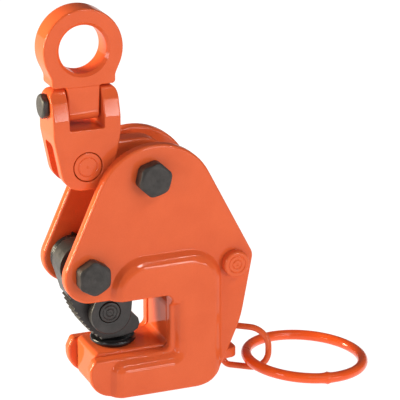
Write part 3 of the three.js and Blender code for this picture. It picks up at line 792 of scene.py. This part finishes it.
def ear_half_thickness(z):
    plain = np.interp(z, [CREASE, SHOULDER, EAR_CROWN], [COUPLING_T / 2, EAR_SHOULDER_T, EAR_CROWN_T])
    over = np.clip((z - EAR_CROWN) / (EAR_TOP - EAR_CROWN), 0, 1)
    return plain - (EAR_CROWN_T - EAR_TOP_T) * (1 - np.sqrt(1 - over**2 * 0.985))


def coupling():
    x0, z0 = COUPLING_AT
    w = COUPLING_W / 2
    face = rounded([
        (-w, EAR_TOP, 4.5), (-w, 18.2, 14), (-13.3, -13.4, 12.5), (13.3, -13.4, 12.5), (w, 18.2, 14),
        (w, EAR_TOP, 4.5),
    ]) + np.array(COUPLING_AT)
    slot = rounded([
        (x0 - SLOT_HALF, z0 + SLOT_FLOOR, 1.2), (x0 + SLOT_HALF, z0 + SLOT_FLOOR, 1.2),
        (x0 + SLOT_HALF, z0 + EAR_TOP + 9, 0), (x0 - SLOT_HALF, z0 + EAR_TOP + 9, 0),
    ])
    heights = [CREASE - 0.3, CREASE, CREASE + 0.3, SHOULDER - 0.3, SHOULDER, SHOULDER + 0.3]
    heights += [EAR_CROWN + (EAR_TOP - EAR_CROWN) * math.sin(math.radians(a)) for a in range(0, 90, 15)]
    lines = [(np.array([(x0 - 25, z0 + h), (x0 + 25, z0 + h)]), False) for h in heights]

    def thinner(points):
        return ear_half_thickness(points[:, 1] - z0) - COUPLING_T / 2

    holes = [(slot, 0.7), (circle(x0, z0, COUPLING_PIN_R + PIN_GAP), 0.5)]
    return in_xz(relief([face], -COUPLING_T / 2, COUPLING_T / 2, 1.0, holes, thinner, thinner, lines))


def lever_slot():
    lo, hi = (-LEVER_SLOT_HALF, -FAR, -FAR), (LEVER_SLOT_HALF, FAR, LEVER_SLOT_TOP)
    points, faces = box_shape(lo, hi, LEVER_SLOT_ROUND)
    return points[:, [1, 0, 2]] + np.array([COUPLING_AT[0], 0, COUPLING_AT[1]]), faces


def cross_bore():
    points, faces = along_x(rod(CROSS_R + HAIR, -FAR, FAR), 0, EYE_AT[1])
    return points + np.array([COUPLING_AT[0], 0, 0]), faces


def cross_bolt():
    seat = COUPLING_W / 2 + HAIR
    top = seat + CROSS_HEAD_H
    end = -(COUPLING_W / 2 - 0.3)
    rings = [(0.0, top - 0.4), (0.6, top - 0.1), (1.0, top)] + hex_rings(CROSS_AF, seat, top, 0)
    rings += [(CROSS_R, seat), (CROSS_R, end + 0.6), (CROSS_R - 0.6, end), (1.0, end), (0.0, end + 0.4)]
    points, faces = along_x(spin(rings), 0, EYE_AT[1], flip=-1)
    return points + np.array([COUPLING_AT[0], 0, 0]), faces


piece("coupling", "coupling", "orange_paint", coupling(), [lever_slot(), cross_bore()])
piece("coupling_pin", "coupling", "orange_paint",
      pin(COUPLING_PIN_R, COUPLING_T / 2 - 0.1, COUPLING_AT, (5.4,), 0.6))
piece("cross_bolt", "coupling", "black_oxide", cross_bolt(), crease=50)

# ---- lifting eye ---------------------------------------------------------------------------------
TONGUE_TIP, TONGUE_ROUND = -9.3, 6.5
NECK_FOOT = 10.9  # lower edge of the neck above the cross bolt
TONGUE_STEP = 0.8  # how much thinner than the neck the tongue is at each face


def lifting_eye():
    at = np.array(EYE_AT)
    disc = circle(EYE_AT[0], EYE_AT[1] + EYE_RISE, EYE_R, 96)
    neck = rounded([
        (-18.2, NECK_FOOT, 2), (18.2, NECK_FOOT, 2), (18.2, 16, 5), (21.6, 24, 0),
        (14, EYE_RISE, 0), (-14, EYE_RISE, 0), (-21.6, 24, 0), (-18.2, 16, 5),
    ]) + at
    tongue = rounded([(-8.8, TONGUE_TIP, 1), (8.8, TONGUE_TIP, 1), (9.5, 14, 0), (-9.5, 14, 0)]) + at
    heights = [TONGUE_TIP + TONGUE_ROUND * (1 - math.cos(math.radians(a))) for a in range(0, 100, 10)]
    heights += [NECK_FOOT - 0.7, NECK_FOOT - 0.6, NECK_FOOT, NECK_FOOT + 0.1]
    lines = [(np.array([(-25, h), (25, h)]) + at, False) for h in heights]
    bore = circle(EYE_AT[0], EYE_AT[1] + EYE_RISE, EYE_BORE, 96)
    lines += [(inset(bore, -EYE_CHAMFER * k), True) for k in (0.12, 0.5, 0.9, 1.0, 1.12)]

    def shaped(points):
        tip = round_drop(points[:, 1] - EYE_AT[1] - TONGUE_TIP, TONGUE_ROUND)
        chamfer = np.clip(EYE_CHAMFER + depth(points, bore), 0, EYE_CHAMFER)
        recess = TONGUE_STEP * np.clip((EYE_AT[1] + NECK_FOOT - points[:, 1]) / 0.6, 0, 1)
        return -np.maximum(tip * 0.97 + recess * (tip < 0.1), chamfer)

    holes = [(bore, 0.25)]
    return in_xz(relief([disc, neck, tongue], -EYE_T / 2, EYE_T / 2, 1.1, holes, shaped, shaped, lines))


piece("lifting_eye", "eye", "orange_paint", lifting_eye(), [cross_bore()])

# ---- wire link and pull ring ---------------------------------------------------------------------
WIRE_LEN, WIRE_LOW, WIRE_HIGH = 27.0, 2.2, 27.0
WIRE_BEND, WIRE_BEND_IN = 11.0, 4  # at the ring's end and at the lug's end
BEAD_H, BEAD_SPREAD = 0.5, 3.2  # weld bead on the ring: height, and half width in degrees


def turn_z(points, degrees):
    return points @ np.array(Matrix.Rotation(math.radians(degrees), 3, "Z")).T


def wire_link():
    flat = rounded([
        (0, WIRE_LOW, WIRE_BEND_IN), (WIRE_LEN, WIRE_LOW, WIRE_BEND),
        (WIRE_LEN, WIRE_HIGH, WIRE_BEND), (0, WIRE_HIGH, WIRE_BEND_IN),
    ], 6)
    both = inset(flat, -1.0) - flat
    both /= np.linalg.norm(both, axis=1, keepdims=True)
    path = np.column_stack([flat[:, 0], flat[:, 0] * 0, flat[:, 1]])
    side = np.column_stack([both[:, 0], both[:, 0] * 0, both[:, 1]])
    up = np.tile([0.0, 1.0, 0.0], (len(path), 1))
    points, faces = sweep(path, side, up, np.full(len(path), WIRE_R))
    return turn_z(points, WIRE_YAW) + np.array([*LUG_AT, 0]), faces


def pull_ring():
    t = np.linspace(0, 360, 180, endpoint=False)
    off = (t - WELD_AT + 180) % 360 - 180
    bead = BEAD_H * np.exp(-((off / BEAD_SPREAD) ** 2)) * (1 + 0.35 * np.cos(np.radians(off * 70)))
    side = np.column_stack([np.cos(np.radians(t)), np.sin(np.radians(t)), t * 0])
    up = np.tile([0.0, 0.0, 1.0], (len(t), 1))
    points, faces = sweep(side * RING_R, side, up, RING_WIRE + bead, sides=24)
    tilt = np.array(Matrix.Rotation(math.radians(RING_TILT), 3, "Y"))
    return points @ tilt.T + np.array(RING_C), faces


piece("wire_link", "wire", "orange_paint", wire_link(), crease=80)
piece("pull_ring", "ring", "ring_paint", pull_ring(), crease=80)

# ---- floor, light and camera ---------------------------------------------------------------------
AIM = Vector((0.030, -0.0225, 0.1106))  # metres, as are all the measures below
CAMERA_AZIMUTH, CAMERA_ELEVATION, CAMERA_DISTANCE = -22.0, 19.0, 1.222
CAMERA_LENS, CAMERA_SENSOR = 198.0, 36.0  # millimetres
CLIP_NEAR, CLIP_FAR = 0.01, 300
FLOOR_HALF = 100.0  # half the side, far past the edges of the camera's view
FLOOR_DROP = 0.0002  # just under the object
FLOOR_GREY = 0.12
WORLD_COLOUR, WORLD_STRENGTH = (0.95, 0.97, 1.0, 1), 0.12
# Name, azimuth, elevation, distance, width, height, watts, colour.
SOFTBOXES = [
    ("key_left", -116, 12, 1.1, 0.5, 0.45, 24, (1.0, 0.90, 0.66)),
    ("fill_left", -65, 12, 1.2, 0.3, 0.3, 2.5, (1, 1, 1)),
    ("top_strip", 28, 44, 1.0, 1.0, 0.02, 3.2, (1, 1, 1)),
    ("front_fill", 21, 14, 1.6, 0.5, 0.16, 4, (1, 1, 1)),
    ("main_front", 30, 4, 1.6, 0.9, 0.2, 4.2, (1, 1, 1)),
]


def away(azimuth, elevation):
    """Unit vector from the object towards a viewer at this azimuth and elevation."""
    a, e = math.radians(azimuth), math.radians(elevation)
    return Vector((math.sin(a) * math.cos(e), -math.cos(a) * math.cos(e), math.sin(e)))


def make_camera():
    data = bpy.data.cameras.new("camera")
    data.lens, data.sensor_width = CAMERA_LENS, CAMERA_SENSOR
    data.clip_start, data.clip_end = CLIP_NEAR, CLIP_FAR
    camera = bpy.data.objects.new("camera", data)
    back = away(CAMERA_AZIMUTH, CAMERA_ELEVATION)
    camera.location = AIM + back * CAMERA_DISTANCE
    camera.rotation_euler = (-back).to_track_quat("-Z", "Y").to_euler()
    bpy.context.scene.collection.objects.link(camera)
    bpy.context.scene.camera = camera


def softbox(name, azimuth, elevation, distance, width, height, watts, colour):
    data = bpy.data.lights.new(name, "AREA")
    data.shape, data.size, data.size_y = "RECTANGLE", width, height
    data.energy, data.color = watts, colour
    light = bpy.data.objects.new(name, data)
    out = away(azimuth, elevation)
    light.location = AIM + out * distance
    light.rotation_euler = (-out).to_track_quat("-Z", "Y").to_euler()
    bpy.context.scene.collection.objects.link(light)


def make_floor():
    mesh = bpy.data.meshes.new("floor")
    corners = [(-1, -1), (1, -1), (1, 1), (-1, 1)]
    mesh.from_pydata([(FLOOR_HALF * x, FLOOR_HALF * y, 0) for x, y in corners], [], [(0, 1, 2, 3)])
    floor = bpy.data.objects.new("floor", mesh)
    floor.location.z = -FLOOR_DROP
    material = bpy.data.materials.new("pale_floor")
    material.use_nodes = True
    shader = material.node_tree.nodes["Principled BSDF"]
    shader.inputs["Base Color"].default_value = (FLOOR_GREY, FLOOR_GREY, FLOOR_GREY, 1)
    shader.inputs["Roughness"].default_value = 0.7
    shader.inputs["Emission Color"].default_value = (1, 1, 1, 1)
    shader.inputs["Emission Strength"].default_value = 1.0
    mesh.materials.append(material)
    bpy.context.scene.collection.objects.link(floor)


def make_world():
    world = bpy.data.worlds.new("studio")
    world.use_nodes = True
    background = world.node_tree.nodes["Background"]
    background.inputs["Color"].default_value = WORLD_COLOUR
    background.inputs["Strength"].default_value = WORLD_STRENGTH
    bpy.context.scene.world = world


make_camera()
make_floor()
make_world()
for box in SOFTBOXES:
    softbox(*box)
bpy.context.scene.view_settings.view_transform = "Standard"
